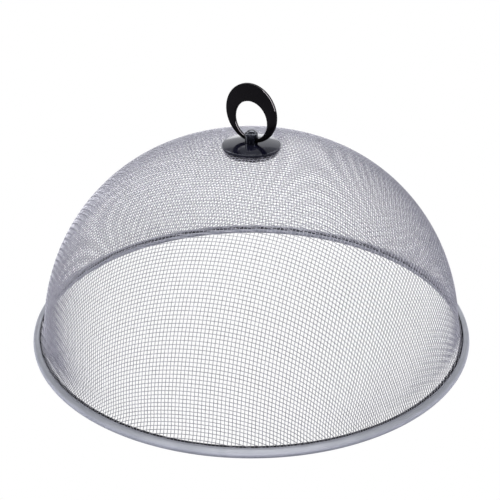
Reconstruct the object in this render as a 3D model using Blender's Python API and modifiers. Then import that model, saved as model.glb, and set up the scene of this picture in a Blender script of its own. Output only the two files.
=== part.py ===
"""Metal mesh food cover: a woven wire dome in a rolled rim, with a ring handle on a round base.

Metres, +Z up. The origin is the centre of the rim's flat foot, on the table.
The handle's ring stands in the XZ plane and tips about X, in the eye of its post.
"""

import math

import bmesh
import bpy
from mathutils import Matrix

# What two pieces that touch keep between them, and how far a cutter runs past what it cuts
SEAT_GAP = 0.0003
CUT_OVERRUN = 0.002
MERGE_DISTANCE = 0.00001

# Rolled rim: a strip of sheet curled into a bead, with a wire hoop in it
COVER_RADIUS = 0.175
BEAD_RADIUS = 0.0036
RIM_SHEET = 0.0005
FOOT_FLAT_DEPTH = 0.0003
HOOP_WIRE_RADIUS = 0.0015
MOUTH_ANGLE = math.radians(137)

# Woven dome, as a shell two wires thick with a coarse grid of openings
MESH_WIRE = 0.0004
STRIP_WIDTH = 0.005
OPENINGS_ROUND = 24
OPENINGS_DOWN = 6
DOME_INSET = 0.009
DOME_HEIGHT = 0.1588
SIDE_POWER = 2.3
CROWN_POWER = 1.92
HEM_FLARE_HEIGHT = 0.007

# Round base of the handle, and the disc that clamps the mesh from inside
BASE_RADIUS = 0.02215
BASE_EDGE_HEIGHT = 0.0021
BASE_RISE = 0.0016
BASE_EDGE_ROUND = 0.0004
CLAMP_RADIUS = 0.0205
CLAMP_THICKNESS = 0.0029
CLAMP_EDGE_ROUND = 0.0006

# Ring of the handle: its hole sits low, so its foot is thin and its top is broad
RING_RADIUS = 0.0229
RING_FOOT = 0.0026
RING_TOP = 0.0138
RING_THICKNESS = 0.0026
RING_EDGE_ROUND = 0.0006
RING_SPLIT = 0.0004

# Post that carries the ring in its eye
POST_RADIUS = 0.0049
POST_SHOULDER_ROUND = 0.0009
EYE_FLOOR = 0.0004
EYE_ROOF = 0.0034
HEAD_RADIUS = 0.0036
HEAD_HEIGHT = 0.0021
SHANK_RADIUS = 0.0035
SHANK_SHORTFALL = 0.0006
BORE_ROOF = 0.001

# Screw and washer under the crown
SCREW_RADIUS = 0.002
SCREW_HEAD_RADIUS = 0.0038
SCREW_HEAD_HEIGHT = 0.0024
SCREW_TIP = 0.0006
RECESS_WIDTH = 0.0009
RECESS_DEPTH = 0.0013
RECESS_SHARE = 0.6
WASHER_RADIUS = 0.006
WASHER_THICKNESS = 0.0008

# How finely round things are cut into facets
RIM_STEPS = 72
KNOB_STEPS = 40
RING_STEPS = 64
SMALL_STEPS = 24
OPENING_STEPS = 3
FLARE_STEPS = 3
HOOP_SIDES = 8
BEAD_OUTER_STEPS = 8
BEAD_INNER_STEPS = 4
BASE_TOP_STEPS = 6
HEAD_STEPS = 5
EDGE_STEPS = 2
SHOULDER_STEPS = 3
SHARP_ANGLE = math.radians(35)

MESH_THICKNESS = 2 * MESH_WIRE


def clear_scene():
    """Take away whatever the file opened with."""
    for thing in list(bpy.data.objects):
        bpy.data.objects.remove(thing, do_unlink=True)


def new_collection(name):
    """Make a collection in the scene."""
    collection = bpy.data.collections.new(name)
    bpy.context.scene.collection.children.link(collection)
    return collection


def finish(name, color, roughness, metallic):
    """Make a Principled material."""
    made = bpy.data.materials.new(name)
    made.use_nodes = True
    shader = made.node_tree.nodes["Principled BSDF"]
    shader.inputs["Base Color"].default_value = (*color, 1)
    shader.inputs["Roughness"].default_value = roughness
    shader.inputs["Metallic"].default_value = metallic
    return made


def add_object(name, mesh, collection, made_of=None):
    """Put a mesh into a collection as a named object."""
    thing = bpy.data.objects.new(name, mesh)
    collection.objects.link(thing)
    if made_of is not None:
        mesh.materials.append(made_of)
    return thing


def arc(centre, radius, start, end, steps):
    """Points (radius from the axis, height) along a circle, both ends included."""
    points = []
    for step in range(steps + 1):
        angle = start + (end - start) * step / steps
        points.append((centre[0] + radius * math.cos(angle), centre[1] + radius * math.sin(angle)))
    return points


def turned(name, profile, collection, made_of, steps, closed=False):
    """Turn a profile about Z. A closed profile makes a ring, an open one ends on the axis."""
    mesh = bpy.data.meshes.new(name)
    corners = [(radius, 0, height) for radius, height in profile]
    edges = [(i, i + 1) for i in range(len(corners) - 1)]
    if closed:
        edges.append((len(corners) - 1, 0))
    mesh.from_pydata(corners, edges, [])
    thing = add_object(name, mesh, collection, made_of)
    turn = thing.modifiers.new("turn", "SCREW")
    turn.axis = "Z"
    turn.steps = steps
    turn.render_steps = steps
    turn.use_merge_vertices = True
    turn.merge_threshold = MERGE_DISTANCE
    turn.use_smooth_shade = True
    return thing


def thicken(thing, thickness, offset):
    """Give an open surface its wall. Offset 0 spreads it both ways, -1 grows it inwards."""
    wall = thing.modifiers.new("wall", "SOLIDIFY")
    wall.thickness = thickness
    wall.offset = offset
    wall.use_even_offset = True


def rod(name, radius, length, place, collection, made_of=None, steps=SMALL_STEPS):
    """A cylinder along its own Z, placed by a matrix."""
    shape = bmesh.new()
    bmesh.ops.create_cone(
        shape, cap_ends=True, segments=steps, radius1=radius, radius2=radius, depth=length, matrix=place
    )
    mesh = bpy.data.meshes.new(name)
    shape.to_mesh(mesh)
    shape.free()
    return add_object(name, mesh, collection, made_of)


def block(name, size, centre, collection):
    """A box of the given size about a centre."""
    shape = bmesh.new()
    place = Matrix.Translation(centre) @ Matrix.Diagonal((*size, 1))
    bmesh.ops.create_cube(shape, size=1, matrix=place)
    mesh = bpy.data.meshes.new(name)
    shape.to_mesh(mesh)
    shape.free()
    return add_object(name, mesh, collection)


def cut(thing, cutter):
    """Take a cutter's shape out of a piece, and keep the cutter out of sight."""
    cutter.hide_render = True
    cutter.display_type = "WIRE"
    away = thing.modifiers.new("cut_" + cutter.name, "BOOLEAN")
    away.operation = "DIFFERENCE"
    away.object = cutter


clear_scene()
PARTS = new_collection("mesh_food_cover")
CUTTERS = new_collection("cutters")

WIRE_STEEL = finish("plated_wire", (0.62, 0.63, 0.66), 0.3, 1.0)
RIM_STEEL = finish("silver_rim", (0.55, 0.58, 0.64), 0.38, 1.0)
HOOP_STEEL = finish("hoop_wire", (0.45, 0.45, 0.46), 0.45, 1.0)
BASE_BLACK = finish("base_gloss_black", (0.012, 0.011, 0.013), 0.12, 0.0)
CLAMP_BLACK = finish("clamp_black", (0.015, 0.015, 0.016), 0.35, 0.0)
POST_BLACK = finish("post_gloss_black", (0.012, 0.011, 0.013), 0.15, 0.0)
RING_BLACK = finish("ring_gloss_black", (0.012, 0.010, 0.012), 0.12, 0.0)
WASHER_ZINC = finish("washer_zinc", (0.6, 0.6, 0.58), 0.35, 1.0)
SCREW_ZINC = finish("screw_zinc", (0.55, 0.55, 0.54), 0.3, 1.0)

# Rim: the bead's centre, and the mouth in its upper inner side that the mesh goes into
bead_centre = (COVER_RADIUS - BEAD_RADIUS, BEAD_RADIUS - FOOT_FLAT_DEPTH)
bead_inner_radius = BEAD_RADIUS - RIM_SHEET
mouth_half_angle = math.asin((MESH_THICKNESS / 2 + SEAT_GAP) / bead_inner_radius)
mouth_way = (math.cos(MOUTH_ANGLE), math.sin(MOUTH_ANGLE))


def along_mouth(distance):
    """The point at a distance from the bead's centre, out through the middle of its mouth."""
    return (bead_centre[0] + distance * mouth_way[0], bead_centre[1] + distance * mouth_way[1])


def make_rim_band():
    """The curled strip: from its outer lip, down the outside, along the flat foot, up to its inner lip."""
    foot_corner = math.asin(bead_centre[1] / BEAD_RADIUS)
    outer_lip = MOUTH_ANGLE - mouth_half_angle
    inner_lip = MOUTH_ANGLE + mouth_half_angle - math.tau
    outside = arc(bead_centre, BEAD_RADIUS, outer_lip, -foot_corner, BEAD_OUTER_STEPS)
    inside = arc(bead_centre, BEAD_RADIUS, foot_corner - math.pi, inner_lip, BEAD_INNER_STEPS)
    band = turned("rim_band", outside + inside, PARTS, RIM_STEEL, RIM_STEPS)
    thicken(band, RIM_SHEET, -1)


hoop_centre = (bead_centre[0], RIM_SHEET + SEAT_GAP + HOOP_WIRE_RADIUS)


def make_rim_hoop():
    """The stiffening wire, which lies on the floor of the bead."""
    section = arc(hoop_centre, HOOP_WIRE_RADIUS, math.tau, 0, HOOP_SIDES)[:-1]
    turned("rim_hoop", section, PARTS, HOOP_STEEL, RIM_STEPS, closed=True)


def hem_end_distance():
    """How far from the bead's centre the mesh stops, so that its cut edge clears the hoop."""
    drop = bead_centre[1] - hoop_centre[1]
    reach = HOOP_WIRE_RADIUS + SEAT_GAP + MESH_THICKNESS / 2
    return math.sqrt(reach**2 - (drop * mouth_way[0]) ** 2) - drop * mouth_way[1]


# Dome: the middle of the mesh's thickness follows a rounded arch, down to the mouth of the bead
mouth_point = along_mouth(BEAD_RADIUS)
wall_radius = COVER_RADIUS - DOME_INSET - MESH_THICKNESS / 2
arch_height = DOME_HEIGHT - MESH_THICKNESS / 2 - mouth_point[1]
shank_hole_radius = SHANK_RADIUS + SEAT_GAP


def arch_radius(height):
    """The arch's radius at a height, with the outward flare of its hem."""
    share = (height - mouth_point[1]) / arch_height
    flare = max(0, 1 - (height - mouth_point[1]) / HEM_FLARE_HEIGHT) ** 2
    arch = wall_radius * (1 - share**CROWN_POWER) ** (1 / SIDE_POWER)
    return arch + (mouth_point[0] - wall_radius) * flare


def arch_point(angle):
    """The arch's point at an angle from its top."""
    height = mouth_point[1] + arch_height * math.cos(angle) ** (2 / CROWN_POWER)
    return (arch_radius(height), height)


crown_angle = math.asin((BASE_RADIUS / wall_radius) ** (SIDE_POWER / 2))
crown_middle = arch_point(crown_angle)[1]
crown_top = crown_middle + MESH_THICKNESS / 2
crown_underside = crown_middle - MESH_THICKNESS / 2


def divide_bays(start, end, count):
    """Divide a span of angle into bays of a strip and an opening: each step's start, and if it is open."""
    strip_angle = 2 * math.asin(STRIP_WIDTH / 2 / wall_radius)
    bay = (end - start) / count
    starts, is_open = [], []
    for number in range(count):
        starts.append(start + bay * number)
        is_open.append(False)
        for step in range(OPENING_STEPS):
            share = step / OPENING_STEPS
            starts.append(start + bay * number + strip_angle + (bay - strip_angle) * share)
            is_open.append(True)
    return starts, is_open


def make_mesh_dome():
    """The woven cloth as an open grid of strips, closed under the handle and from the flare to the hem."""
    flare_share = HEM_FLARE_HEIGHT / arch_height
    flare_angle = math.acos(flare_share ** (CROWN_POWER / 2))
    angles_down, open_down = divide_bays(crown_angle, flare_angle, OPENINGS_DOWN)
    angles_round, open_round = divide_bays(0, math.tau, OPENINGS_ROUND)
    path = [(shank_hole_radius, crown_middle)] + [arch_point(angle) for angle in angles_down]
    for step in range(FLARE_STEPS + 1):
        height = mouth_point[1] + HEM_FLARE_HEIGHT * (1 - step / FLARE_STEPS)
        path.append((arch_radius(height), height))
    path.append(along_mouth(hem_end_distance()))

    corners = []
    for radius, height in path:
        corners += [(radius * math.cos(a), radius * math.sin(a), height) for a in angles_round]
    count = len(angles_round)
    faces = []
    for row in range(len(path) - 1):
        row_is_open = 0 < row <= len(open_down) and open_down[row - 1]
        for column in range(count):
            if not (row_is_open and open_round[column]):
                here, beside = row * count + column, row * count + (column + 1) % count
                faces.append((here, here + count, beside + count, beside))
    mesh = bpy.data.meshes.new("mesh_dome")
    mesh.from_pydata(corners, [], faces)
    mesh.shade_smooth()
    thicken(add_object("mesh_dome", mesh, PARTS, WIRE_STEEL), MESH_THICKNESS, 0)


# Handle: the base stands on the crown. The ring's foot bar runs just over the base's top, through
# a round eye in the post that lets it turn, and the post is let into the base as deep as its eye needs
base_bottom = crown_top + SEAT_GAP
base_edge_top = base_bottom + BASE_EDGE_HEIGHT
base_top = base_edge_top + BASE_RISE
ring_hole_radius = RING_RADIUS - (RING_FOOT + RING_TOP) / 2
hole_sag = ring_hole_radius - math.sqrt(ring_hole_radius**2 - POST_RADIUS**2)
bar_reach = (RING_FOOT + hole_sag) / 2
bar_corner = math.hypot(bar_reach - RING_EDGE_ROUND, RING_THICKNESS / 2 - RING_EDGE_ROUND) + RING_EDGE_ROUND
eye_radius = bar_corner + SEAT_GAP
pivot_height = base_top + eye_radius
post_bottom = pivot_height - eye_radius - EYE_FLOOR
recess_radius = POST_RADIUS + SEAT_GAP
recess_floor = post_bottom - SEAT_GAP


def make_knob_base():
    """The round base: a recess for the post, a low dome down to the edge, and a flat underside."""
    edge_centre = BASE_RADIUS - BASE_EDGE_ROUND
    upper_centre = (edge_centre, base_edge_top - BASE_EDGE_ROUND)
    lower_centre = (edge_centre, base_bottom + BASE_EDGE_ROUND)
    profile = [(shank_hole_radius, recess_floor), (recess_radius, recess_floor)]
    for step in range(BASE_TOP_STEPS + 1):
        share = step / BASE_TOP_STEPS
        radius = recess_radius + (edge_centre - recess_radius) * share
        profile.append((radius, base_top - BASE_RISE * share**2))
    profile += arc(upper_centre, BASE_EDGE_ROUND, math.pi / 2, 0, EDGE_STEPS)[1:]
    profile += arc(lower_centre, BASE_EDGE_ROUND, 0, -math.pi / 2, EDGE_STEPS)
    profile.append((shank_hole_radius, base_bottom))
    turned("knob_base", profile, PARTS, BASE_BLACK, KNOB_STEPS, closed=True)


clamp_top = crown_underside - SEAT_GAP
clamp_bottom = clamp_top - CLAMP_THICKNESS


def make_clamp_disc():
    """The disc inside the dome, which the screw draws up against the mesh."""
    edge_centre = CLAMP_RADIUS - CLAMP_EDGE_ROUND
    upper_centre = (edge_centre, clamp_top - CLAMP_EDGE_ROUND)
    lower_centre = (edge_centre, clamp_bottom + CLAMP_EDGE_ROUND)
    profile = [(shank_hole_radius, clamp_top)]
    profile += arc(upper_centre, CLAMP_EDGE_ROUND, math.pi / 2, 0, EDGE_STEPS)
    profile += arc(lower_centre, CLAMP_EDGE_ROUND, 0, -math.pi / 2, EDGE_STEPS)
    profile.append((shank_hole_radius, clamp_bottom))
    turned("clamp_disc", profile, PARTS, CLAMP_BLACK, KNOB_STEPS, closed=True)


def make_grip_ring():
    """The ring, about its hinge axis: a thick round, its low hole, and the hidden split in its foot."""
    across = Matrix.Rotation(math.pi / 2, 4, "X")
    middle = Matrix.Translation((0, 0, RING_RADIUS - bar_reach))
    ring = rod("grip_ring", RING_RADIUS, RING_THICKNESS, middle @ across, PARTS, RING_BLACK, RING_STEPS)
    ring.location = (0, 0, pivot_height)
    hole_place = Matrix.Translation((0, 0, pivot_height - bar_reach + RING_FOOT + ring_hole_radius))
    hole_length = RING_THICKNESS + CUT_OVERRUN
    hole = rod("ring_hole", ring_hole_radius, hole_length, hole_place @ across, CUTTERS, steps=RING_STEPS)
    cut(ring, hole)
    split_size = (RING_SPLIT, RING_THICKNESS + CUT_OVERRUN, 2 * (bar_reach + CUT_OVERRUN))
    cut(ring, block("ring_split", split_size, (0, 0, pivot_height), CUTTERS))
    rounding = ring.modifiers.new("rounding", "BEVEL")
    rounding.width = RING_EDGE_ROUND
    rounding.segments = EDGE_STEPS
    rounding.limit_method = "ANGLE"
    rounding.angle_limit = SHARP_ANGLE
    ring.data.shade_smooth()


shoulder_height = pivot_height + eye_radius + EYE_ROOF
shank_bottom = clamp_bottom + SHANK_SHORTFALL
bore_radius = SCREW_RADIUS + SEAT_GAP
bore_top = post_bottom - BORE_ROOF


def make_knob_post():
    """The post: domed head, shoulder, body with the eye through it, and a bored shank for the screw."""
    profile = []
    for step in range(HEAD_STEPS + 1):
        angle = math.pi / 2 * step / HEAD_STEPS
        profile.append((HEAD_RADIUS * math.sin(angle), shoulder_height + HEAD_HEIGHT * math.cos(angle)))
    shoulder_centre = (POST_RADIUS - POST_SHOULDER_ROUND, shoulder_height - POST_SHOULDER_ROUND)
    profile += arc(shoulder_centre, POST_SHOULDER_ROUND, math.pi / 2, 0, SHOULDER_STEPS)
    profile.append((POST_RADIUS, post_bottom))
    profile.append((SHANK_RADIUS, post_bottom))
    profile.append((SHANK_RADIUS, shank_bottom))
    profile.append((bore_radius, shank_bottom))
    profile.append((bore_radius, bore_top))
    profile.append((0, bore_top))
    post = turned("knob_post", profile, PARTS, POST_BLACK, KNOB_STEPS)
    along_x = Matrix.Rotation(math.pi / 2, 4, "Y")
    eye_place = Matrix.Translation((0, 0, pivot_height)) @ along_x
    eye_length = 2 * (POST_RADIUS + CUT_OVERRUN)
    cut(post, rod("post_eye", eye_radius, eye_length, eye_place, CUTTERS, steps=KNOB_STEPS))


washer_top = clamp_bottom - SEAT_GAP
washer_bottom = washer_top - WASHER_THICKNESS


def make_washer():
    """The flat washer between the clamp disc and the screw's head."""
    profile = [
        (bore_radius, washer_top),
        (WASHER_RADIUS, washer_top),
        (WASHER_RADIUS, washer_bottom),
        (bore_radius, washer_bottom),
    ]
    turned("washer", profile, PARTS, WASHER_ZINC, SMALL_STEPS, closed=True)


def make_fixing_screw():
    """The screw, head down, which goes up through the washer into the post's bore."""
    head_top = washer_bottom - SEAT_GAP
    head_bottom = head_top - SCREW_HEAD_HEIGHT
    tip = bore_top - SEAT_GAP
    head_round = SCREW_HEAD_HEIGHT / 2
    round_centre = (SCREW_HEAD_RADIUS - head_round, head_bottom + head_round)
    profile = [
        (0, tip),
        (SCREW_RADIUS - SCREW_TIP, tip),
        (SCREW_RADIUS, tip - SCREW_TIP),
        (SCREW_RADIUS, head_top),
        (SCREW_HEAD_RADIUS, head_top),
    ]
    profile += arc(round_centre, head_round, 0, -math.pi / 2, SHOULDER_STEPS)
    profile.append((0, head_bottom))
    screw = turned("fixing_screw", profile, PARTS, SCREW_ZINC, SMALL_STEPS)
    arm = 2 * RECESS_SHARE * SCREW_HEAD_RADIUS
    depth = RECESS_DEPTH + CUT_OVERRUN
    middle = (0, 0, head_bottom + RECESS_DEPTH - depth / 2)
    cut(screw, block("recess_x", (arm, RECESS_WIDTH, depth), middle, CUTTERS))
    cut(screw, block("recess_y", (RECESS_WIDTH, arm, depth), middle, CUTTERS))


make_mesh_dome()
make_rim_band()
make_rim_hoop()
make_knob_base()
make_clamp_disc()
make_knob_post()
make_grip_ring()
make_washer()
make_fixing_screw()
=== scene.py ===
# %% [markdown]
# A mesh food cover is a dome of woven wire, held in shape by a rolled metal rim and lifted by a small
# glossy ring on its crown. The imported model gives every size and place, so it is loaded first.

import math

import bpy
import numpy as np
from mathutils import Matrix, Vector


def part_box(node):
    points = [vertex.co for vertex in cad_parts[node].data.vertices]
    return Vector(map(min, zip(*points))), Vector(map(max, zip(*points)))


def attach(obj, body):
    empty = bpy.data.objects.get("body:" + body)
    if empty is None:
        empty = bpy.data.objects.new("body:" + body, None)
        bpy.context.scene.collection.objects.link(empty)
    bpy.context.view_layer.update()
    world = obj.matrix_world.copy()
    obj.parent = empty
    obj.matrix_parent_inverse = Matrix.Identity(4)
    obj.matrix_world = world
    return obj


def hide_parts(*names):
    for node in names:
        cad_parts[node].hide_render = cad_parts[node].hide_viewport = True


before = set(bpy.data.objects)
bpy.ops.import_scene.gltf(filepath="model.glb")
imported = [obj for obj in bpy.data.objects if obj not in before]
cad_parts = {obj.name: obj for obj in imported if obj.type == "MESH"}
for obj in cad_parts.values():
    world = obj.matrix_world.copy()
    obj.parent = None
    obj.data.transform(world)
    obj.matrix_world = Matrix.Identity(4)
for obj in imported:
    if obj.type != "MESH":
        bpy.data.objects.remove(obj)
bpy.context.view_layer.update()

# %% [markdown]
# The cover's sizes are named once, as its maker would note them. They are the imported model's, except that
# the cloth's flare at the hem starts a little higher up, as it does in the photograph. The heights of the
# handle's pieces are read from the model's own boxes.

# %% Sizes of the cover
SEAT_GAP = 0.0003
COVER_RADIUS = 0.175
BEAD_RADIUS = 0.0036
RIM_SHEET = 0.0005
FOOT_FLAT_DEPTH = 0.0003
HOOP_WIRE_RADIUS = 0.0015
MOUTH_ANGLE = math.radians(137)
WIRE_RADIUS = 0.0002
DOME_INSET = 0.009
DOME_HEIGHT = 0.1588
SIDE_POWER = 2.3
CROWN_POWER = 1.92
HEM_FLARE_HEIGHT = 0.0105
BASE_RADIUS = 0.02215
SHANK_HOLE_RADIUS = 0.0038

bead_centre = (COVER_RADIUS - BEAD_RADIUS, BEAD_RADIUS - FOOT_FLAT_DEPTH)
mouth_way = (math.cos(MOUTH_ANGLE), math.sin(MOUTH_ANGLE))
mouth_point = tuple(c + BEAD_RADIUS * w for c, w in zip(bead_centre, mouth_way))
mesh_thickness = 4 * WIRE_RADIUS
hoop_centre = (bead_centre[0], RIM_SHEET + SEAT_GAP + HOOP_WIRE_RADIUS)
print("bead centre, mm:", [round(1000 * c, 2) for c in bead_centre])

# %% [markdown]
# Paint, plating and moulded plastic are never one even colour. Three effects come back in several of the
# cover's finishes, so each is a node group, built once. The first is a fine grain: cloudy differences a
# few millimetres wide, as plating and satin metal have.

# %% Node group: fine grain
def new_group(name, inputs, outputs):
    """Start a shader node group with named number inputs and outputs."""
    group = bpy.data.node_groups.new(name, "ShaderNodeTree")
    for label, value in inputs.items():
        socket = group.interface.new_socket(label, in_out="INPUT", socket_type="NodeSocketFloat")
        socket.default_value = value
    for label in outputs:
        group.interface.new_socket(label, in_out="OUTPUT", socket_type="NodeSocketFloat")
    return group, group.nodes.new("NodeGroupInput"), group.nodes.new("NodeGroupOutput")


def add_math(tree, operation, *values):
    """A Math node whose inputs are numbers or other nodes' outputs."""
    node = tree.nodes.new("ShaderNodeMath")
    node.operation = operation
    for socket, value in zip(node.inputs, values):
        if isinstance(value, (int, float)):
            socket.default_value = value
        else:
            tree.links.new(value, socket)
    return node.outputs[0]


def stretch(tree, value, low, high, to_low=0.0, to_high=1.0):
    """A Map Range node, which turns a value's useful part into a whole scale."""
    node = tree.nodes.new("ShaderNodeMapRange")
    tree.links.new(value, node.inputs["Value"])
    for label, number in (("From Min", low), ("From Max", high), ("To Min", to_low), ("To Max", to_high)):
        node.inputs[label].default_value = number
    return node.outputs["Result"]


grain, grain_in, grain_out = new_group("fine_grain", {"Grains per metre": 400}, ["Tone", "Height"])
where = grain.nodes.new("ShaderNodeTexCoord").outputs["Object"]
for label, detail, times in (("Tone", 4, 1), ("Height", 2, 3)):
    noise = grain.nodes.new("ShaderNodeTexNoise")
    noise.inputs["Detail"].default_value = detail
    grain.links.new(where, noise.inputs["Vector"])
    grain.links.new(add_math(grain, "MULTIPLY", grain_in.outputs[0], times), noise.inputs["Scale"])
    grain.links.new(stretch(grain, noise.outputs["Fac"], 0.3, 0.7), grain_out.inputs[label])
print("group:", grain.name, [s.name for s in grain.interface.items_tree])

# %% [markdown]
# The second effect is marks that run round the cover's axis, as rolling leaves on a rim and turning on
# a washer. A noise in four dimensions does it without a seam: place changes it slowly, and the distance
# from the axis plus the height changes it fast, so every mark is long, thin and follows its circle.

# %% Node group: round marks
marks, marks_in, marks_out = new_group(
    "round_marks", {"Marks per metre": 3000, "Breaks per metre": 12}, ["Mark"]
)
where = marks.nodes.new("ShaderNodeTexCoord").outputs["Object"]
split = marks.nodes.new("ShaderNodeSeparateXYZ")
marks.links.new(where, split.inputs[0])
square = [add_math(marks, "MULTIPLY", split.outputs[i], split.outputs[i]) for i in (0, 1)]
distance = add_math(marks, "SQRT", add_math(marks, "ADD", *square))
across = add_math(marks, "ADD", distance, split.outputs[2])
slow = marks.nodes.new("ShaderNodeVectorMath")
slow.operation = "SCALE"
marks.links.new(where, slow.inputs[0])
marks.links.new(marks_in.outputs["Breaks per metre"], slow.inputs["Scale"])
noise = marks.nodes.new("ShaderNodeTexNoise")
noise.noise_dimensions = "4D"
noise.inputs["Scale"].default_value = 1
noise.inputs["Detail"].default_value = 3
marks.links.new(slow.outputs[0], noise.inputs["Vector"])
marks.links.new(add_math(marks, "MULTIPLY", across, marks_in.outputs["Marks per metre"]), noise.inputs["W"])
marks.links.new(stretch(marks, noise.outputs["Fac"], 0.35, 0.65), marks_out.inputs["Mark"])
print("group:", marks.name, [s.name for s in marks.interface.items_tree])

# %% [markdown]
# The third effect is what hands and a kitchen leave: wide soft smudges, and a few specks of dust.
# Smudges are a slow noise. Specks are the middles of Voronoi cells, and only the reddest cells keep theirs.

# %% Node group: handling
handling, handling_in, handling_out = new_group(
    "handling", {"Smudges per metre": 60, "Specks per metre": 900}, ["Smudge", "Speck"]
)
where = handling.nodes.new("ShaderNodeTexCoord").outputs["Object"]
noise = handling.nodes.new("ShaderNodeTexNoise")
noise.inputs["Detail"].default_value = 3
noise.inputs["Distortion"].default_value = 0.6
handling.links.new(where, noise.inputs["Vector"])
handling.links.new(handling_in.outputs["Smudges per metre"], noise.inputs["Scale"])
handling.links.new(stretch(handling, noise.outputs["Fac"], 0.42, 0.68), handling_out.inputs["Smudge"])
cells = handling.nodes.new("ShaderNodeTexVoronoi")
handling.links.new(where, cells.inputs["Vector"])
handling.links.new(handling_in.outputs["Specks per metre"], cells.inputs["Scale"])
chosen = handling.nodes.new("ShaderNodeSeparateColor")
handling.links.new(cells.outputs["Color"], chosen.inputs[0])
rare = stretch(handling, chosen.outputs[0], 0.86, 0.88)
small = stretch(handling, cells.outputs["Distance"], 0.22, 0.12)
handling.links.new(add_math(handling, "MULTIPLY", rare, small), handling_out.inputs["Speck"])
print("group:", handling.name, [s.name for s in handling.interface.items_tree])

# %% [markdown]
# A finish is a Principled shader with its even numbers on its own sockets, and the groups for what
# varies. One helper starts it, and small helpers add a varying colour, a varying roughness and a bump.

# %% Helpers for finishes
def start_finish(name, metallic, roughness, specular=0.5, coat=0.0):
    """A material with its Principled shader, and the even numbers set on the shader itself."""
    made = bpy.data.materials.new(name)
    made.use_nodes = True
    shader = made.node_tree.nodes["Principled BSDF"]
    shader.inputs["Metallic"].default_value = metallic
    shader.inputs["Roughness"].default_value = roughness
    shader.inputs["Specular IOR Level"].default_value = specular
    shader.inputs["Coat Weight"].default_value = coat
    return made, made.node_tree, shader


def place_group(tree, group, **values):
    """Put a node group into a material, with this finish's own values."""
    node = tree.nodes.new("ShaderNodeGroup")
    node.node_tree = group
    for label, value in values.items():
        node.inputs[label.replace("_", " ")].default_value = value
    return node


def vary_colour(tree, shader, mask, low, high):
    """Base colour between two colours, as a mask says."""
    mix = tree.nodes.new("ShaderNodeMix")
    mix.data_type = "RGBA"
    mix.inputs["A"].default_value = (*low, 1)
    mix.inputs["B"].default_value = (*high, 1)
    tree.links.new(mask, mix.inputs["Factor"])
    tree.links.new(mix.outputs["Result"], shader.inputs["Base Color"])


def vary_roughness(tree, shader, mask, low, high):
    """Roughness between two values, as a mask says."""
    tree.links.new(stretch(tree, mask, 0, 1, low, high), shader.inputs["Roughness"])


def add_bump(tree, shader, height, depth, strength):
    """Unevenness of the given depth, in metres."""
    bump = tree.nodes.new("ShaderNodeBump")
    bump.inputs["Distance"].default_value = depth
    bump.inputs["Strength"].default_value = strength
    tree.links.new(height, bump.inputs["Height"])
    tree.links.new(bump.outputs["Normal"], shader.inputs["Normal"])


print("finish helpers ready")

# %% [markdown]
# The mesh is steel wire with a pale plating that has a touch of violet. It is bright where it is smooth
# and grey where it is dull, in patches of a few millimetres, so a fine grain drives colour and roughness.

# %% Finish: plated wire
plated_wire, tree, shader = start_finish("plated_wire", metallic=0.85, roughness=0.5)
grains = place_group(tree, grain, Grains_per_metre=260)
DULL_PLATING = (0.325, 0.323, 0.362)
BRIGHT_PLATING = (0.415, 0.413, 0.455)
vary_colour(tree, shader, grains.outputs["Tone"], DULL_PLATING, BRIGHT_PLATING)
vary_roughness(tree, shader, grains.outputs["Tone"], 0.6, 0.48)
print("finish:", plated_wire.name)

# %% [markdown]
# The rim is satin metal with a cool grey tone. Rolling has left faint marks round it and hands have left
# a few duller, darker patches, so its highlights are soft and uneven. Both effects add up to one tone.

# %% Finish: satin rim
satin_rim, tree, shader = start_finish("satin_rim", metallic=1.0, roughness=0.4)
rolled = place_group(tree, marks, Marks_per_metre=2600, Breaks_per_metre=9)
touched = place_group(tree, handling, Smudges_per_metre=34)
MARK_SHARE = 0.4
SMUDGE_SHARE = 0.6
CLEAN_SATIN = (0.50, 0.512, 0.555)
TOUCHED_SATIN = (0.43, 0.442, 0.482)
rolled_share = add_math(tree, "MULTIPLY", rolled.outputs["Mark"], MARK_SHARE)
tone = add_math(tree, "MULTIPLY_ADD", touched.outputs["Smudge"], SMUDGE_SHARE, rolled_share)
vary_colour(tree, shader, tone, CLEAN_SATIN, TOUCHED_SATIN)
vary_roughness(tree, shader, tone, 0.52, 0.66)
add_bump(tree, shader, rolled.outputs["Mark"], 0.00002, 0.35)
print("finish:", satin_rim.name)

# %% [markdown]
# Inside the bead and on the inner lip the sheet takes a painted shade: a dark, dull colour that stands in
# for the shadow in the slot, with the same marks of rolling. This painted shade shows between the wires.

# %% Finish: painted shade in the bead
bead_painted_shade, tree, shader = start_finish("bead_painted_shade", metallic=0.6, roughness=0.7)
rolled = place_group(tree, marks, Marks_per_metre=2600, Breaks_per_metre=20)
# Dark colours painted as the shade in the slot, a little lighter along the rolling marks.
PAINTED_SHADE_DARK = (0.035, 0.035, 0.042)
PAINTED_SHADE_MARKED = (0.07, 0.07, 0.08)
vary_colour(tree, shader, rolled.outputs["Mark"], PAINTED_SHADE_DARK, PAINTED_SHADE_MARKED)
vary_roughness(tree, shader, rolled.outputs["Mark"], 0.6, 0.8)
print("finish:", bead_painted_shade.name)

# %% [markdown]
# The base, the post and the ring are glossy black plastic. It is nearly a black mirror, and what makes
# it real is what breaks the mirror: smudges that dull it and a few specks of dust. The ring's moulding
# has a warmer sheen than the base's and reflects much less, so its broad face stays black.

# %% Finish: gloss black
RIPPLE_DEPTH = 0.000015


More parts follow.
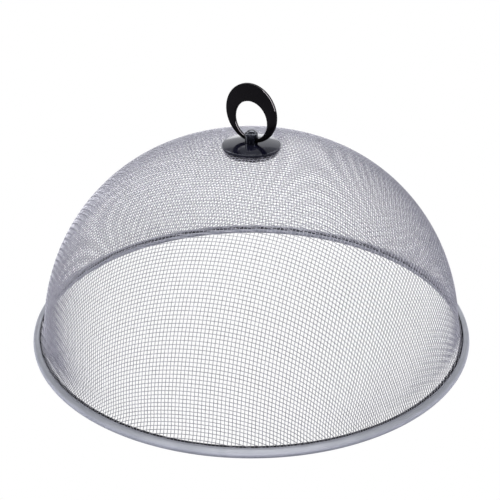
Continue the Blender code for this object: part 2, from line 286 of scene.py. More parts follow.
def gloss_black(name, dark, dusty, specular, sheen_tint, smooth, dull, ripple_share):
    """Glossy black moulding with smudges, dust and a faint ripple."""
    made, tree, shader = start_finish(name, metallic=0.0, roughness=smooth, specular=specular)
    shader.inputs["Specular Tint"].default_value = (*sheen_tint, 1)
    touched = place_group(tree, handling, Smudges_per_metre=110, Specks_per_metre=1100)
    ripple = place_group(tree, grain, Grains_per_metre=220)
    vary_colour(tree, shader, touched.outputs["Speck"], dark, dusty)
    vary_roughness(tree, shader, touched.outputs["Smudge"], smooth, dull)
    add_bump(tree, shader, ripple.outputs["Tone"], RIPPLE_DEPTH, ripple_share)
    return made


NAVY = (0.82, 0.86, 1.0)
VIOLET = (1.0, 0.93, 1.0)
base_black = gloss_black(
    "base_gloss_black", dark=(0.003, 0.003, 0.008), dusty=(0.04, 0.04, 0.046),
    specular=0.5, sheen_tint=NAVY, smooth=0.06, dull=0.14, ripple_share=0.25
)
ring_black = gloss_black(
    "ring_gloss_black", dark=(0.00014, 0.00012, 0.00015), dusty=(0.003, 0.0027, 0.003),
    specular=0.07, sheen_tint=VIOLET, smooth=0.09, dull=0.14, ripple_share=0.06
)
post_black = gloss_black(
    "post_gloss_black", dark=(0.003, 0.003, 0.006), dusty=(0.04, 0.04, 0.044),
    specular=0.5, sheen_tint=NAVY, smooth=0.06, dull=0.14, ripple_share=0.2
)
print("finishes:", base_black.name, ring_black.name, post_black.name)

# %% [markdown]
# The disc inside the dome is the same plastic left duller from its mould. The screw and washer are zinc
# plated. The hoop in the rim is drawn steel wire, darker than zinc. All three have fine marks round them,
# so one helper makes them.

# %% Finishes: clamp disc and fixings
clamp_black, tree, shader = start_finish("clamp_satin_black", metallic=0.0, roughness=0.4, specular=0.35)
grains = place_group(tree, grain, Grains_per_metre=900)
MOULD_BLACK = (0.010, 0.010, 0.011)
RUBBED_BLACK = (0.020, 0.020, 0.022)
vary_colour(tree, shader, grains.outputs["Tone"], MOULD_BLACK, RUBBED_BLACK)
vary_roughness(tree, shader, grains.outputs["Tone"], 0.34, 0.5)
add_bump(tree, shader, grains.outputs["Height"], 0.00002, 0.4)


def zinc(name, bright, grey, marks_per_metre):
    """Plain small metal: a little cloudy, with fine marks round the cover's axis."""
    made, tree, shader = start_finish(name, metallic=1.0, roughness=0.35)
    grains = place_group(tree, grain, Grains_per_metre=700)
    turned_marks = place_group(tree, marks, Marks_per_metre=marks_per_metre, Breaks_per_metre=60)
    vary_colour(tree, shader, grains.outputs["Tone"], grey, bright)
    vary_roughness(tree, shader, turned_marks.outputs["Mark"], 0.28, 0.48)
    add_bump(tree, shader, turned_marks.outputs["Mark"], 0.00001, 0.4)
    return made


washer_zinc = zinc("washer_zinc", bright=(0.60, 0.60, 0.58), grey=(0.44, 0.44, 0.43), marks_per_metre=5200)
screw_zinc = zinc("screw_zinc", bright=(0.56, 0.56, 0.55), grey=(0.40, 0.40, 0.40), marks_per_metre=4200)
hoop_steel = zinc("hoop_steel", bright=(0.46, 0.46, 0.47), grey=(0.32, 0.32, 0.33), marks_per_metre=3000)
print("finishes:", clamp_black.name, washer_zinc.name, screw_zinc.name, hoop_steel.name)

# %% [markdown]
# The dome's line is the middle of its cloth, from the crown down the wall to the hem. The rim's lip
# follows it and so does every wire, so it comes first. It is measured out in small steps, so that a place
# on the dome can be told by its distance from the crown along the surface and its direction.

# %% Line of the dome
LINE_STEPS = 3000
wall_radius = COVER_RADIUS - DOME_INSET - mesh_thickness / 2
arch_height = DOME_HEIGHT - mesh_thickness / 2 - mouth_point[1]
hoop_drop = bead_centre[1] - hoop_centre[1]
hem_reach = HOOP_WIRE_RADIUS + SEAT_GAP + mesh_thickness / 2
hem_depth = math.sqrt(hem_reach**2 - (hoop_drop * mouth_way[0]) ** 2) - hoop_drop * mouth_way[1]
hem_end = tuple(c + hem_depth * w for c, w in zip(bead_centre, mouth_way))

crown_angle = math.asin((BASE_RADIUS / wall_radius) ** (SIDE_POWER / 2))
angles = np.linspace(crown_angle, math.pi / 2, LINE_STEPS)
heights = mouth_point[1] + arch_height * np.cos(angles).clip(0) ** (2 / CROWN_POWER)
shares = (heights - mouth_point[1]) / arch_height
flare = np.maximum(0, 1 - (heights - mouth_point[1]) / HEM_FLARE_HEIGHT) ** 2
radii = wall_radius * (1 - shares**CROWN_POWER) ** (1 / SIDE_POWER)
radii += (mouth_point[0] - wall_radius) * flare
line_r = np.concatenate([[0], radii, [hem_end[0], hem_end[0]]])
line_z = np.concatenate([[heights[0]], heights, [hem_end[1], hem_end[1] - COVER_RADIUS]])
line_s = np.concatenate([[0], np.cumsum(np.hypot(np.diff(line_r), np.diff(line_z)))])
hem_distance = line_s[-2]
lean_r, lean_z = np.gradient(line_r, line_s), np.gradient(line_z, line_s)


def beside_cloth(height, offset):
    """A point level with a height of the cloth, so far outside its middle, or inside if less than 0."""
    distance = np.interp(height, line_z[::-1], line_s[::-1])
    return (float(np.interp(distance, line_s, line_r) - offset * np.interp(distance, line_s, lean_z)),
            float(height + offset * np.interp(distance, line_s, lean_r)))


print("crown to hem along the dome: %.1f mm" % (1000 * hem_distance))

# %% [markdown]
# Rim, base, discs and screw are round, so each is a profile turned about the upright axis with a Screw
# modifier, in many more steps than the imported model has. The helper settles the modifiers into the mesh
# and shades it smooth except over real corners, and another gives the piece its finish, hangs it on the
# body it rides on and hides the imported part that it stands in for.

# %% Helpers for turned pieces
MERGE_DISTANCE = 0.000001


def arc(centre, radius, start, end, steps):
    """Points (distance from the axis, height) along a circle, both ends included."""
    angles = [start + (end - start) * step / steps for step in range(steps + 1)]
    return [(centre[0] + radius * math.cos(a), centre[1] + radius * math.sin(a)) for a in angles]


def turn(name, profile, steps, closed=True):
    """Turn a profile about Z. Its outer side runs from top to bottom."""
    mesh = bpy.data.meshes.new(name)
    edges = [(i, i + 1) for i in range(len(profile) - 1)]
    if closed:
        edges.append((len(profile) - 1, 0))
    mesh.from_pydata([(radius, 0, height) for radius, height in profile], edges, [])
    piece = bpy.data.objects.new(name, mesh)
    bpy.context.scene.collection.objects.link(piece)
    screw = piece.modifiers.new("turn", "SCREW")
    screw.steps = screw.render_steps = steps
    screw.use_merge_vertices = True
    screw.merge_threshold = MERGE_DISTANCE
    return piece


def cut(piece, cutter):
    """Take a cutter's shape out of a piece."""
    away = piece.modifiers.new("cut", "BOOLEAN")
    away.operation = "DIFFERENCE"
    away.object = cutter


def settle(piece, *cutters, corner=40):
    """Turn the modifiers into plain mesh, shade it smooth, and drop the cutters."""
    bpy.context.view_layer.update()
    seen = piece.evaluated_get(bpy.context.evaluated_depsgraph_get())
    mesh = bpy.data.meshes.new_from_object(seen)
    piece.modifiers.clear()
    piece.data = mesh
    mesh.shade_smooth()
    mesh.set_sharp_from_angle(angle=math.radians(corner))
    for cutter in cutters:
        bpy.data.objects.remove(cutter)
    return piece


def fit_piece(piece, finish, body, node=None):
    """Dress a piece, hang it on the body it rides on, and hide the imported part it stands in for."""
    piece.data.materials.clear()
    piece.data.materials.append(finish)
    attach(piece, body)
    if node is not None:
        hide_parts(node)
    return piece


print("helpers for turned pieces ready")

# %% [markdown]
# The rim is a strip of sheet curled into a bead, with a slot for the cloth. The outer wall ends a little
# short of the cloth. The inner wall bends at the slot and follows the inside of the cloth for most of
# a millimetre more. That lip and the inside of the bead take a painted shade, a dark colour for the
# shadow in the slot, and seen through the cloth it is the thin dark line that divides rim and mesh. Both
# edges are rounded, because a cut edge that hands touch is rolled over. The profile goes round the outside
# first and comes back along the inside of the sheet.

# %% Profile of the rim
WALL_STEPS = 40
BACK_STEPS = 14
INNER_BACK_STEPS = 12
INNER_WALL_STEPS = 32
LIP_EDGE_STEPS = 6
LIP_LEVELS = 5
OUTER_LIP_ANGLE = math.radians(111)
INNER_BEND_ANGLE = math.radians(156)
INNER_LIP_LEVEL = 0.0065
inner_radius = BEAD_RADIUS - RIM_SHEET
foot_corner = math.asin(bead_centre[1] / BEAD_RADIUS)
inner_foot_corner = math.asin((bead_centre[1] - RIM_SHEET) / inner_radius)
lip_radius = RIM_SHEET / 2
lip_way = (math.cos(OUTER_LIP_ANGLE), math.sin(OUTER_LIP_ANGLE))
edge_middle = [c + (BEAD_RADIUS - lip_radius) * w for c, w in zip(bead_centre, lip_way)]

cloth_side = mesh_thickness / 2 + SEAT_GAP
lip_levels = np.linspace(mouth_point[1], INNER_LIP_LEVEL, LIP_LEVELS)
near_side = [beside_cloth(level, -cloth_side - RIM_SHEET) for level in lip_levels]
far_side = [beside_cloth(level, -cloth_side) for level in lip_levels]
tip_middle = [sum(pair) / 2 for pair in zip(near_side[-1], far_side[-1])]
tip_way = math.atan2(near_side[-1][1] - tip_middle[1], near_side[-1][0] - tip_middle[0])

back_bend = INNER_BEND_ANGLE - math.tau
outside = arc(bead_centre, BEAD_RADIUS, OUTER_LIP_ANGLE, -foot_corner, WALL_STEPS)
outside += arc(bead_centre, BEAD_RADIUS, foot_corner - math.pi, back_bend, BACK_STEPS)
outside += near_side
outside += arc(tip_middle, lip_radius, tip_way, tip_way - math.pi, LIP_EDGE_STEPS)[1:-1]
inside = far_side[::-1]
inside += arc(bead_centre, inner_radius, back_bend, inner_foot_corner - math.pi, INNER_BACK_STEPS)
inside += arc(bead_centre, inner_radius, -inner_foot_corner, OUTER_LIP_ANGLE, INNER_WALL_STEPS)
edge = arc(edge_middle, lip_radius, OUTER_LIP_ANGLE + math.pi, OUTER_LIP_ANGLE, LIP_EDGE_STEPS)[1:-1]
print("rim profile:", len(outside) + len(inside) + len(edge), "points")

# %% [markdown]
# The profile is turned into the rim. Every face then takes the satin finish or the painted shade, as the
# stretch of the profile that it came from says: the inner lip and the inside of the bead take the shade.

# %% Rim band
ROUND_STEPS = 288
section = outside + inside + edge
rim = settle(turn("rim_bead", section, ROUND_STEPS))
fit_piece(rim, satin_rim, "cover", "rim_band")
# The second material is painted shade: the dark colour for the shadow inside the bead and on the lip.
rim.data.materials.append(bead_painted_shade)
stretches = (np.array(section) + np.roll(section, -1, axis=0)) / 2
is_painted_shade = np.zeros(len(section), int)
lip_start = outside.index(near_side[0])
is_painted_shade[lip_start:len(outside) + len(inside)] = 1
for face in rim.data.polygons:
    place = np.array([math.hypot(face.center.x, face.center.y), face.center.z])
    face.material_index = is_painted_shade[np.argmin(np.hypot(*(stretches - place).T))]
painted_shade_faces = sum(face.material_index for face in rim.data.polygons)
print("rim:", len(rim.data.polygons), "faces, of them", painted_shade_faces, "of raw sheet")

# %% [markdown]
# A steel wire lies on the floor of the bead and keeps the rim round. It hardly shows from outside, so
# a plain turned circle does.

# %% Hoop in the rim
HOOP_STEPS = 20
section = arc(hoop_centre, HOOP_WIRE_RADIUS, math.tau, 0, HOOP_STEPS)[:-1]
hoop = settle(turn("hoop_wire", section, ROUND_STEPS))
fit_piece(hoop, hoop_steel, "cover", "rim_hoop")
print("hoop:", len(hoop.data.polygons), "faces")

# %% [markdown]
# The cloth of wire is the heart of this object. A flat cloth is pressed over a dome without stretching
# its wires: they keep their spacing along each other, and only the angle between them changes. Such a net
# starts from two wires that cross on the crown, not quite square, because a cloth is easily pulled askew.
# Every further crossing lies one spacing from each of its two neighbours.
#
# The spacing differs a little from wire to wire, as on any loom, and a fixed seed keeps it the same each
# time. Crossings that are equally far along are found together, each by a few steps towards the place
# that has the right distance from both of its neighbours. A step follows from how the two distances
# change when the place is nudged along X and along Y, and the two least values keep it from dividing
# by nothing.

# %% Net of crossings
DOWN_PITCH = 0.00273
CROSS_PITCH = 0.002955
PITCH_SPREAD = 0.012
SPREAD_LIMIT = 2
NET_WIRES = 96
CLOTH_SKEW = math.radians(-6)
NEARING_STEPS = 8
LARGEST_STEP = DOWN_PITCH / 3
NUDGE = 1e-6
LOOM_SEED = 7
LEAST_WHOLE = 1e-4
LEAST_DISTANCE = 1e-12


def on_dome(spots):
    """Points on the dome for spots given as distance times direction from the crown."""
    distance = np.hypot(spots[..., 0], spots[..., 1])
    way = spots / np.maximum(distance, LEAST_DISTANCE)[..., None]
    radius = np.interp(distance, line_s, line_r)[..., None]
    return np.concatenate([radius * way, np.interp(distance, line_s, line_z)[..., None]], -1)


def miss(spots, first, second, gap_first, gap_second):
    """How far spots are from their right distances to two neighbours."""
    points = on_dome(spots)
    return np.stack([np.linalg.norm(points - first, axis=1) - gap_first,
                     np.linalg.norm(points - second, axis=1) - gap_second], 1)


def quarter_net(gaps_down, gaps_cross, cross_way):
    """Spots of the crossings in one quarter, where the first crossing wire runs along cross_way."""
    count = len(gaps_down) + 1
    spots = np.zeros((count, count, 2))
    spots[1:, 0, 0] = np.cumsum(gaps_down)
    spots[0, 1:] = np.outer(np.cumsum(gaps_cross), cross_way)
    for total in range(2, 2 * count - 1):
        i = np.arange(max(1, total - count + 1), min(count - 1, total - 1) + 1)
        j = total - i
        sides = (on_dome(spots[i - 1, j]), on_dome(spots[i, j - 1]), gaps_down[i - 1], gaps_cross[j - 1])
        spot = spots[i - 1, j] + spots[i, j - 1] - spots[i - 1, j - 1]
        for _ in range(NEARING_STEPS):
            off = miss(spot, *sides)
            by_x = (miss(spot + [NUDGE, 0], *sides) - off) / NUDGE
            by_y = (miss(spot + [0, NUDGE], *sides) - off) / NUDGE
            whole = by_x[:, 0] * by_y[:, 1] - by_y[:, 0] * by_x[:, 1]
            whole = np.where(np.abs(whole) < LEAST_WHOLE, LEAST_WHOLE, whole)
            step = np.stack([off[:, 0] * by_y[:, 1] - off[:, 1] * by_y[:, 0],
                             off[:, 1] * by_x[:, 0] - off[:, 0] * by_x[:, 1]], 1) / whole[:, None]
            spot = spot - step.clip(-LARGEST_STEP, LARGEST_STEP)
        spots[i, j] = spot
    return spots


rng = np.random.default_rng(LOOM_SEED)
gaps = 1 + PITCH_SPREAD * rng.standard_normal((4, NET_WIRES)).clip(-SPREAD_LIMIT, SPREAD_LIMIT)
gaps *= np.array([[DOWN_PITCH], [DOWN_PITCH], [CROSS_PITCH], [CROSS_PITCH]])
skewed = np.array([math.sin(CLOTH_SKEW), math.cos(CLOTH_SKEW)])
net = np.zeros((2 * NET_WIRES + 1, 2 * NET_WIRES + 1, 2))
for side_x, down in ((1, 0), (-1, 1)):
    for side_y, cross in ((1, 2), (-1, 3)):
        quarter = quarter_net(gaps[down], gaps[cross], side_x * side_y * skewed) * side_x
        rows = NET_WIRES + side_x * np.arange(NET_WIRES + 1)
        columns = NET_WIRES + side_y * np.arange(NET_WIRES + 1)
        net[np.ix_(rows, columns)] = quarter
on_cloth = np.hypot(net[..., 0], net[..., 1]) < hem_distance
print("crossings on the dome:", int(on_cloth.sum()))

# %% [markdown]
# The cloth lies turned about the upright axis, so that the wire that runs straight down from the crown
# comes down a little to the left of the camera's side. A plain weave passes each wire over one neighbour
# and under the next, so the wires' middles lie one wire radius outside the cloth's own surface and one
# inside it, turn and turn about.

# %% Paths of the wires
WEAVE_TURN = math.radians(25.2)
turn_cos, turn_sin = math.cos(WEAVE_TURN), math.sin(WEAVE_TURN)
turn_cloth = np.array([[turn_cos, turn_sin], [turn_sin, -turn_cos]])
spots = net @ turn_cloth
distance = np.hypot(net[..., 0], net[..., 1])
way = spots / np.maximum(distance, LEAST_DISTANCE)[..., None]
out_r = -np.interp(distance, line_s, lean_z)[..., None]
out_z = np.interp(distance, line_s, lean_r)[..., None]
outward = np.concatenate([out_r * way, out_z], -1)
outward /= np.linalg.norm(outward, axis=-1, keepdims=True)
crossing_number = np.add.outer(np.arange(net.shape[0]), np.arange(net.shape[1]))
over = np.where(crossing_number % 2 == 0, 1, -1)[..., None]
down_paths = on_dome(spots) + over * WIRE_RADIUS * outward
cross_paths = on_dome(spots) - over * WIRE_RADIUS * outward


def trim(points, distances, nearest, furthest):
    """Cut a wire off where it leaves the cloth, and return the runs that are left."""
    runs, run = [], []
    for k in range(len(points)):
        inside = nearest <= distances[k] <= furthest
        if k and inside != (nearest <= distances[k - 1] <= furthest):
            edge = furthest if max(distances[k], distances[k - 1]) > furthest else nearest
            share = (edge - distances[k - 1]) / (distances[k] - distances[k - 1])
            run.append(points[k - 1] + share * (points[k] - points[k - 1]))
        if inside:
            run.append(points[k])
        elif len(run) > 1:
            runs.append(run)
            run = []
        else:
            run = []
    return runs


families = {
    "down_wires": (down_paths, distance),
    "cross_wires": (cross_paths.swapaxes(0, 1), distance.T),
}
print("wires each way:", int(on_cloth[:, NET_WIRES].sum()))

# %% [markdown]
# A wire is a poly spline with a round bevel, and dozens of them share one curve object. That is quick to
# make and shades smoothly. The plating went on after weaving, so it thickens the wire a little and joins
# the wires where they cross. Each family is split in two, so that no piece is too heavy to hand on.

# %% Weave the wires
PLATING = 0.00004


def weave(name, paths, distances):
    """One curve object that holds a number of wires."""
    curve = bpy.data.curves.new(name, "CURVE")
    curve.dimensions = "3D"
    curve.bevel_depth = WIRE_RADIUS + PLATING
    curve.bevel_resolution = 1
    curve.use_fill_caps = True
    for path, along in zip(paths, distances):
        for run in trim(path, along, SHANK_HOLE_RADIUS + WIRE_RADIUS, hem_distance):
            spline = curve.splines.new("POLY")
            spline.points.add(len(run) - 1)
            spline.points.foreach_set("co", np.column_stack([run, np.ones(len(run))]).ravel())
            spline.use_smooth = True
    piece = bpy.data.objects.new(name, curve)
    bpy.context.scene.collection.objects.link(piece)
    return piece


for family, (paths, along) in families.items():
    middle = NET_WIRES + 1
    for half, rows in (("a", slice(0, middle)), ("b", slice(middle, None))):
        wires = weave(f"{family}_{half}", paths[rows], along[rows])
        fit_piece(wires, plated_wire, "cover", "mesh_dome")
        print(wires.name, len(wires.data.splines), "runs of wire")

# %% [markdown]
# The base is a low dome with a recess for the post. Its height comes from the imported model, and its edges
# get finer roundings, because a glossy black edge shows only as the thin bright line on its rounding.

# %% Base of the handle
BASE_STEPS = 160
SLOPE_STEPS = 24
EDGE_STEPS = 8
BASE_EDGE_HEIGHT = 0.0021
BASE_EDGE_ROUND = 0.0004
POST_RADIUS = 0.0049
EYE_FLOOR = 0.0004
base_low, base_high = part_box("knob_base")
base_bottom, base_top = base_low.z, base_high.z
edge_top = base_bottom + BASE_EDGE_HEIGHT
base_rise = base_top - edge_top
recess_radius = POST_RADIUS + SEAT_GAP
recess_floor = base_top - EYE_FLOOR - SEAT_GAP
slope_end = BASE_RADIUS - BASE_EDGE_ROUND
high_round = (slope_end, edge_top - BASE_EDGE_ROUND)
low_round = (slope_end, base_bottom + BASE_EDGE_ROUND)

profile = [(SHANK_HOLE_RADIUS, recess_floor), (recess_radius, recess_floor)]
for step in range(SLOPE_STEPS + 1):
    share = step / SLOPE_STEPS
    profile.append((recess_radius + (slope_end - recess_radius) * share, base_top - base_rise * share**2))
profile += arc(high_round, BASE_EDGE_ROUND, math.pi / 2, 0, EDGE_STEPS)[1:]
profile += arc(low_round, BASE_EDGE_ROUND, 0, -math.pi / 2, EDGE_STEPS)
profile.append((SHANK_HOLE_RADIUS, base_bottom))
base = settle(turn("handle_base", profile, BASE_STEPS))
fit_piece(base, base_black, "cover", "knob_base")
print("base: %.1f mm across, %.1f mm high" % (2000 * BASE_RADIUS, 1000 * (base_top - base_bottom)))

# %% [markdown]
# The post carries the ring. It has a shoulder, a small domed head, and a round eye through it along X,
# cut with a cylinder. A small bevel on the eye's rim catches light, as a moulded edge does.

# %% Post
POST_STEPS = 96
HEAD_STEPS = 16
EYE_BEVEL = 0.00012
EYE_ROOF = 0.0034
HEAD_RADIUS = 0.0036
HEAD_HEIGHT = 0.0021
POST_SHOULDER_ROUND = 0.0009
SHANK_RADIUS = 0.0035
BORE_RADIUS = 0.0023
BORE_ROOF = 0.001
EYE_RADIUS = 0.002221
post_low, post_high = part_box("knob_post")
pivot_height = base_top + EYE_RADIUS
shoulder_height = pivot_height + EYE_RADIUS + EYE_ROOF
post_bottom = recess_floor + SEAT_GAP
shoulder_middle = (POST_RADIUS - POST_SHOULDER_ROUND, shoulder_height - POST_SHOULDER_ROUND)

profile = []
for step in range(HEAD_STEPS + 1):
    angle = math.pi / 2 * step / HEAD_STEPS
    profile.append((HEAD_RADIUS * math.sin(angle), shoulder_height + HEAD_HEIGHT * math.cos(angle)))
profile += arc(shoulder_middle, POST_SHOULDER_ROUND, math.pi / 2, 0, EDGE_STEPS)
profile += [(POST_RADIUS, post_bottom), (SHANK_RADIUS, post_bottom), (SHANK_RADIUS, post_low.z)]
bore_top = post_bottom - BORE_ROOF
profile += [(BORE_RADIUS, post_low.z), (BORE_RADIUS, bore_top), (0, bore_top)]
post = turn("handle_post", profile, POST_STEPS, closed=False)
bpy.ops.mesh.primitive_cylinder_add(
    vertices=POST_STEPS, radius=EYE_RADIUS, depth=4 * POST_RADIUS,
    location=(0, 0, pivot_height), rotation=(0, math.pi / 2, 0)
)
eye = bpy.context.object
cut(post, eye)
soften = post.modifiers.new("soften", "BEVEL")
soften.width = EYE_BEVEL
soften.segments = 2
soften.angle_limit = math.radians(50)
settle(post, eye)
fit_piece(post, post_black, "cover", "knob_post")
print("post: head at %.1f mm, pivot at %.2f mm" % (1000 * post_high.z, 1000 * pivot_height))

# %% [markdown]
# The ring is a flat plate with its hole set low, so its foot is thin and its top broad. A flat curve
# makes it: the outline goes round the outside, then back round the hole, and meets itself at the hidden
# split in the foot. The curve's own bevel rounds every edge, so the outline is drawn that much smaller.

# %% Ring
OUTSIDE_STEPS = 240
HOLE_STEPS = 200
RING_RADIUS = 0.0229
RING_HOLE_RADIUS = 0.0147
RING_FOOT = 0.0026
RING_THICKNESS = 0.0026
RING_EDGE_ROUND = 0.0007
RING_SPLIT = 0.0004
hole_sag = RING_HOLE_RADIUS - math.sqrt(RING_HOLE_RADIUS**2 - POST_RADIUS**2)
foot_bottom = -(RING_FOOT + hole_sag) / 2
split_side = RING_SPLIT / 2 + RING_EDGE_ROUND


def open_circle(radius, middle, steps):
    """A circle from just right of the split round to just left of it."""
    start = math.asin(split_side / radius)
    turns = [start + (math.tau - 2 * start) * step / steps for step in range(steps + 1)]
    return [(radius * math.sin(a), middle - radius * math.cos(a)) for a in turns]


outline = open_circle(RING_RADIUS - RING_EDGE_ROUND, foot_bottom + RING_RADIUS, OUTSIDE_STEPS)
hole_middle = foot_bottom + RING_FOOT + RING_HOLE_RADIUS
outline += reversed(open_circle(RING_HOLE_RADIUS + RING_EDGE_ROUND, hole_middle, HOLE_STEPS))
plate = bpy.data.curves.new("handle_ring", "CURVE")
plate.dimensions = "2D"
plate.fill_mode = "BOTH"
plate.extrude = RING_THICKNESS / 2 - RING_EDGE_ROUND
plate.bevel_depth = RING_EDGE_ROUND
plate.bevel_resolution = 5
spline = plate.splines.new("POLY")
spline.points.add(len(outline) - 1)
spline.points.foreach_set("co", np.array([(x, y, 0, 1) for x, y in outline]).ravel())
spline.use_cyclic_u = True
drawn = bpy.data.objects.new("ring_outline", plate)
drawn.rotation_euler = (math.pi / 2, 0, 0)
drawn.location = (0, 0, pivot_height)
bpy.context.scene.collection.objects.link(drawn)
bpy.context.view_layer.update()
ring_mesh = bpy.data.meshes.new_from_object(drawn.evaluated_get(bpy.context.evaluated_depsgraph_get()))
ring_mesh.transform(drawn.matrix_world)
bpy.data.objects.remove(drawn)
ring = bpy.data.objects.new("handle_ring", ring_mesh)
bpy.context.scene.collection.objects.link(ring)
weld = ring.modifiers.new("weld", "WELD")
weld.merge_threshold = MERGE_DISTANCE
settle(ring)
fit_piece(ring, ring_black, "ring", "grip_ring")
print("ring: top at %.1f mm" % (1000 * max(v.co.z for v in ring.data.vertices)))

# %% [markdown]
# Inside the dome a disc clamps the mesh, and a screw with a washer draws it up. Through the mesh the disc
# shows as a dark crescent under the base, and from below the screw's cross recess can be seen. Disc and
# washer are flat and round with rounded edges, so one helper draws both sections.

# %% Clamp disc and washer
CLAMP_STEPS = 128
CLAMP_RADIUS = 0.0205
CLAMP_EDGE_ROUND = 0.0006
WASHER_RADIUS = 0.006
WASHER_EDGE_ROUND = 0.00015
SMALL_STEPS = 80


def disc_profile(bore, radius, bottom, top, edge_round, steps):
    """The section of a flat disc with a bore and rounded outer edges."""
    middle = radius - edge_round
    section = [(bore, top)]
    section += arc((middle, top - edge_round), edge_round, math.pi / 2, 0, steps)
    section += arc((middle, bottom + edge_round), edge_round, 0, -math.pi / 2, steps)
    return section + [(bore, bottom)]


clamp_low, clamp_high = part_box("clamp_disc")
section = disc_profile(
    SHANK_HOLE_RADIUS, CLAMP_RADIUS, clamp_low.z, clamp_high.z, CLAMP_EDGE_ROUND, steps=6
)
clamp = settle(turn("clamp_plate", section, CLAMP_STEPS))
fit_piece(clamp, clamp_black, "cover", "clamp_disc")

washer_low, washer_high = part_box("washer")
section = disc_profile(
    BORE_RADIUS, WASHER_RADIUS, washer_low.z, washer_high.z, WASHER_EDGE_ROUND, steps=4
)
washer = settle(turn("zinc_washer", section, SMALL_STEPS))
fit_piece(washer, washer_zinc, "cover", "washer")
print("clamp disc %.1f mm, washer %.1f mm across" % (2000 * CLAMP_RADIUS, 2000 * WASHER_RADIUS))

# %% [markdown]
# The screw goes up through the washer into the post. Its head hangs below the washer, rounded at its edge,
# and two thin blocks that cross each other cut the recess for the screwdriver.

# %% Screw
SCREW_RADIUS = 0.002
SCREW_HEAD_RADIUS = 0.0038
SCREW_TIP = 0.0006
HEAD_EDGE_STEPS = 10
RECESS_WIDTH = 0.0009
RECESS_DEPTH = 0.0013
RECESS_SHARE = 0.6
RECESS_LENGTH = 2 * RECESS_SHARE * SCREW_HEAD_RADIUS
screw_low, screw_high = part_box("fixing_screw")
head_top = washer_low.z - SEAT_GAP
head_round = (head_top - screw_low.z) / 2
head_middle = (SCREW_HEAD_RADIUS - head_round, screw_low.z + head_round)

section = [(0, screw_high.z), (SCREW_RADIUS - SCREW_TIP, screw_high.z)]
section += [(SCREW_RADIUS, screw_high.z - SCREW_TIP), (SCREW_RADIUS, head_top)]
section.append((SCREW_HEAD_RADIUS, head_top))
section += arc(head_middle, head_round, 0, -math.pi / 2, HEAD_EDGE_STEPS)
section.append((0, screw_low.z))
screw = turn("zinc_screw", section, SMALL_STEPS, closed=False)
arms = []
for width, length in ((RECESS_WIDTH, RECESS_LENGTH), (RECESS_LENGTH, RECESS_WIDTH)):
    bpy.ops.mesh.primitive_cube_add(size=1, location=(0, 0, screw_low.z))
    arms.append(bpy.context.object)
    arms[-1].scale = (width, length, 2 * RECESS_DEPTH)
    cut(screw, arms[-1])
settle(screw, *arms)
fit_piece(screw, screw_zinc, "cover", "fixing_screw")
screw_length = screw_high.z - screw_low.z
print("screw: %.1f mm long, head %.1f mm across" % (1000 * screw_length, 2000 * SCREW_HEAD_RADIUS))

# %% [markdown]
# The stage is a plain white floor, and it isn't part of the object. A catalogue photograph shows its
# floor as pure white. If light alone did that, the floor would be brighter than white and would eat the
# thin wires in front of it. So the camera sees it as exactly white, by Light Path, while all other rays
# find a pale board that is lit like anything else. The board is slightly blue, because the wires of the
# photograph are a little bluer where they are lit from below.

# %% Floor
FLOOR_SIZE = 12
GREY_BOARD = (0.67, 0.665, 0.74)
PALE_BOARD = (0.71, 0.705, 0.78)
bpy.ops.mesh.primitive_plane_add(size=FLOOR_SIZE, location=(0, 0, 0))
floor = bpy.context.object
floor.name = "floor"
pale_board, tree, shader = start_finish("pale_board", metallic=0.0, roughness=0.7, specular=0.1)
grains = place_group(tree, grain, Grains_per_metre=3)
vary_colour(tree, shader, grains.outputs["Tone"], GREY_BOARD, PALE_BOARD)
white = tree.nodes.new("ShaderNodeEmission")
chosen = tree.nodes.new("ShaderNodeMixShader")
tree.links.new(tree.nodes.new("ShaderNodeLightPath").outputs["Is Camera Ray"], chosen.inputs[0])
tree.links.new(shader.outputs[0], chosen.inputs[1])
tree.links.new(white.outputs[0], chosen.inputs[2])
tree.links.new(chosen.outputs[0], tree.nodes["Material Output"].inputs["Surface"])
floor.data.materials.append(pale_board)
print("floor ready")

# %% [markdown]
# The light is a studio's: soft rectangular panels that all face the cover's middle. Each is placed by how
# far it stands round to the right of the camera and how high up, both in degrees, then by its distance,
# width and height in metres and its watts. A photographer screens a lamp off one thing and sets another
# lamp on that alone. Light linking does the same here: a panel may be kept to some of the pieces.

# %% Helper for soft panels
VIEW_AZIMUTH = math.radians(36)
AIM_HEIGHT = 0.08


def soft_panel(name, azimuth, elevation, distance, width, height, watts, only_on=()):
    """A rectangular light that faces the cover's middle, and may be kept to some pieces."""
    lamp = bpy.data.lights.new(name, "AREA")
    lamp.shape = "RECTANGLE"
    lamp.size, lamp.size_y = width, height
    lamp.energy = watts
    panel = bpy.data.objects.new(name, lamp)
    a, e = VIEW_AZIMUTH + math.radians(azimuth), math.radians(elevation)
    back = Vector((math.sin(a) * math.cos(e), -math.cos(a) * math.cos(e), math.sin(e)))
    panel.location = back * distance + Vector((0, 0, AIM_HEIGHT))
    panel.rotation_mode = "QUATERNION"
    panel.rotation_quaternion = (-back).to_track_quat("-Z", "Y")
    bpy.context.scene.collection.objects.link(panel)
    if only_on:
        aim = bpy.data.collections.new(name + "_aim")
        for piece in only_on:
            aim.objects.link(piece)
        panel.light_linking.receiver_collection = aim
    return panel


print("panel helper ready")

# %% [markdown]
# Two small softboxes, left and right of the camera, light everything. A wide panel over and behind the
# cover and a weaker one at the left light all but the rim, which would turn white in them. The rim has
# three weak panels of its own, from the front, from above and from behind. The glossy black handle shows
# its lamps as reflections. Two at the sides draw its edges, and one very strong panel draws the line along
# the ring's rounding, because the ring reflects so little. Two low panels behind lie as a pale sheen on
# the back of the base.

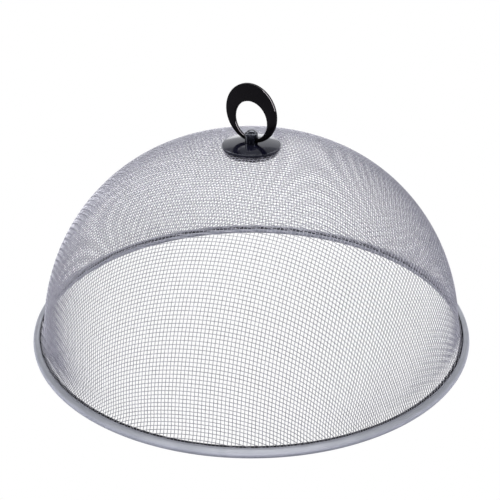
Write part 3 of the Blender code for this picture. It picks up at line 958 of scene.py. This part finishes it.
# %% Lamps
all_but_rim = [o for o in bpy.context.scene.objects if o.type in ("MESH", "CURVE") and o is not rim]
handle = [ring, post, base]
soft_panel("panel_above", 180, 62, 1.8, 2.2, 1.0, 53, all_but_rim)
soft_panel("softbox_left", -38, 38, 1.6, 0.45, 0.45, 2.5)
soft_panel("softbox_right", 34, 38, 1.6, 0.45, 0.45, 2.5)
soft_panel("fill_left", -104, 22, 1.5, 0.4, 1.2, 6, all_but_rim)
soft_panel("rim_front", 0, 10, 1.6, 1.8, 0.5, 4, [rim])
soft_panel("rim_above", 0, 80, 1.6, 1.2, 1.2, 9, [rim])
soft_panel("rim_back", 180, 25, 1.6, 1.6, 0.6, 4, [rim])
soft_panel("edge_right", 108, 24, 1.5, 0.8, 1.3, 8, handle)
soft_panel("ring_line", 52, 45, 1.5, 0.9, 2.2, 1100, [ring])
soft_panel("edge_left", -100, 20, 1.5, 0.3, 1.0, 10, handle)
soft_panel("base_sheen", 180, 8, 1.5, 3.4, 0.4, 6, [base])
soft_panel("base_glow", 180, 17, 1.6, 3.0, 0.85, 3.5, [base])

# %% [markdown]
# The room is pure white to look at. As a light it is faintly blue, bright round the horizon and dimmer
# towards the top, as a studio with pale walls is. So it has two backgrounds, and Light Path gives one to
# the camera and the other to all other rays. The Standard view keeps white exactly white.

# %% Room
HORIZON_LIGHT = 1.15
UPPER_LIGHT = 0.35
UPPER_LEVEL = 0.6
FAINT_BLUE = (0.96, 0.97, 1, 1)
WHITE = (1, 1, 1, 1)
room = bpy.data.worlds.new("room")
bpy.context.scene.world = room
room.use_nodes = True
tree = room.node_tree
tree.nodes.clear()
seen = tree.nodes.new("ShaderNodeBackground")
seen.inputs["Color"].default_value = WHITE
lit = tree.nodes.new("ShaderNodeBackground")
lit.inputs["Color"].default_value = FAINT_BLUE
upward = tree.nodes.new("ShaderNodeSeparateXYZ")
tree.links.new(tree.nodes.new("ShaderNodeTexCoord").outputs["Generated"], upward.inputs[0])
graded = stretch(tree, upward.outputs["Z"], 0, UPPER_LEVEL, HORIZON_LIGHT, UPPER_LIGHT)
tree.links.new(graded, lit.inputs["Strength"])
either = tree.nodes.new("ShaderNodeMixShader")
tree.links.new(tree.nodes.new("ShaderNodeLightPath").outputs["Is Camera Ray"], either.inputs[0])
tree.links.new(lit.outputs[0], either.inputs[1])
tree.links.new(seen.outputs[0], either.inputs[2])
tree.links.new(either.outputs[0], tree.nodes.new("ShaderNodeOutputWorld").inputs[0])
bpy.context.scene.view_settings.view_transform = "Standard"
print("room:", room.name, "view:", bpy.context.scene.view_settings.view_transform)

# %% [markdown]
# The camera stands where the photograph was taken from: 31 degrees up, a little under a metre away, with
# a long lens, and tipped up slightly so that the cover sits in the middle of the picture.

# %% Camera
CAMERA_ELEVATION = math.radians(31.35)
CAMERA_DISTANCE = 0.9625
CAMERA_TIP = math.radians(3.726)
CAMERA_YAW = math.radians(0.067)
FOCAL_PIXELS = 1178.4
IMAGE_PIXELS = 500
SENSOR_WIDTH = 36

back = Vector((math.sin(VIEW_AZIMUTH) * math.cos(CAMERA_ELEVATION),
               -math.cos(VIEW_AZIMUTH) * math.cos(CAMERA_ELEVATION), math.sin(CAMERA_ELEVATION)))
right = Vector((math.cos(VIEW_AZIMUTH), math.sin(VIEW_AZIMUTH), 0))
eye_point = back * CAMERA_DISTANCE
tip = Matrix.Rotation(CAMERA_TIP, 3, right)
back, up = tip @ back, tip @ back.cross(right)
yaw = Matrix.Rotation(CAMERA_YAW, 3, up)
back, right = yaw @ back, yaw @ right
lens = bpy.data.cameras.new("camera")
lens.sensor_width = SENSOR_WIDTH
lens.lens = FOCAL_PIXELS / IMAGE_PIXELS * SENSOR_WIDTH
camera = bpy.data.objects.new("camera", lens)
camera.matrix_world = Matrix((right, up, back)).transposed().to_4x4()
camera.location = eye_point
bpy.context.scene.collection.objects.link(camera)
bpy.context.scene.camera = camera
print("camera: lens %.1f mm, %.3f m away" % (lens.lens, CAMERA_DISTANCE))
